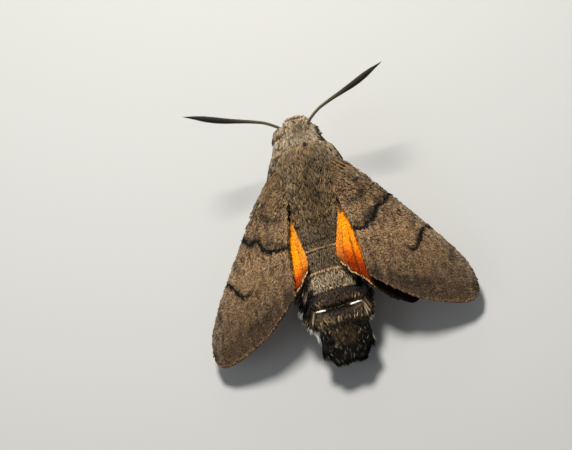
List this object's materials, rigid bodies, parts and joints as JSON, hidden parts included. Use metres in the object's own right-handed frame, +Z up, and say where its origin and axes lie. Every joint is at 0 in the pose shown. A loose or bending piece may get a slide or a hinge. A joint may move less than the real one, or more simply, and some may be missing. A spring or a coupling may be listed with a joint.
{
  "type": "hummingbird hawk moth",
  "caption": "Still, life-size hummingbird hawk moth at rest: wings swept back over a furred body, clubbed antennae, coiled proboscis, long side tufts and a broad tail fan.",
  "frame": {"origin": "bottom centre of the bounding box, on the floor that the moth stands on", "axes": "+Z up from the floor, +Y forwards towards the head, +X to the moth's right"},
  "size_m": [0.0306, 0.0302, 0.0129],
  "materials": {
    "head_fur": "short dense fur, grey-beige",
    "thorax_fur": "dense brown fur lying backwards, each hair pale at its tip",
    "abdomen_fur": "flat dark grey-brown scales with paler bands and black side patches",
    "fan_scales": "long blackish scales with pale tips",
    "forewing_scales": "matt brown scales with black cross lines",
    "hindwing_scales": "orange scales, red-brown towards the edge",
    "eye_lens": "glossy faceted dark lens",
    "antenna_scales": "ringed dark shaft, paler rings towards the base",
    "palp_scales": "dense pale scales",
    "proboscis_horn": "smooth dark horn",
    "leg_scales": "flat brown scales"
  },
  "bodies": {
    "root": {"head": "head_fur", "eye_left": "eye_lens", "eye_right": "eye_lens", "palp_left": "palp_scales", "palp_right": "palp_scales", "antenna_left": "antenna_scales", "antenna_right": "antenna_scales", "proboscis": "proboscis_horn", "thorax": "thorax_fur", "abdomen": "abdomen_fur", "tail_fan": "fan_scales", "forewing_left": "forewing_scales", "forewing_right": "forewing_scales", "hindwing_left": "hindwing_scales", "hindwing_right": "hindwing_scales", "leg_front_left": "leg_scales", "leg_front_right": "leg_scales", "leg_mid_left": "leg_scales", "leg_mid_right": "leg_scales", "leg_hind_left": "leg_scales", "leg_hind_right": "leg_scales"}
  },
  "joints": []
}
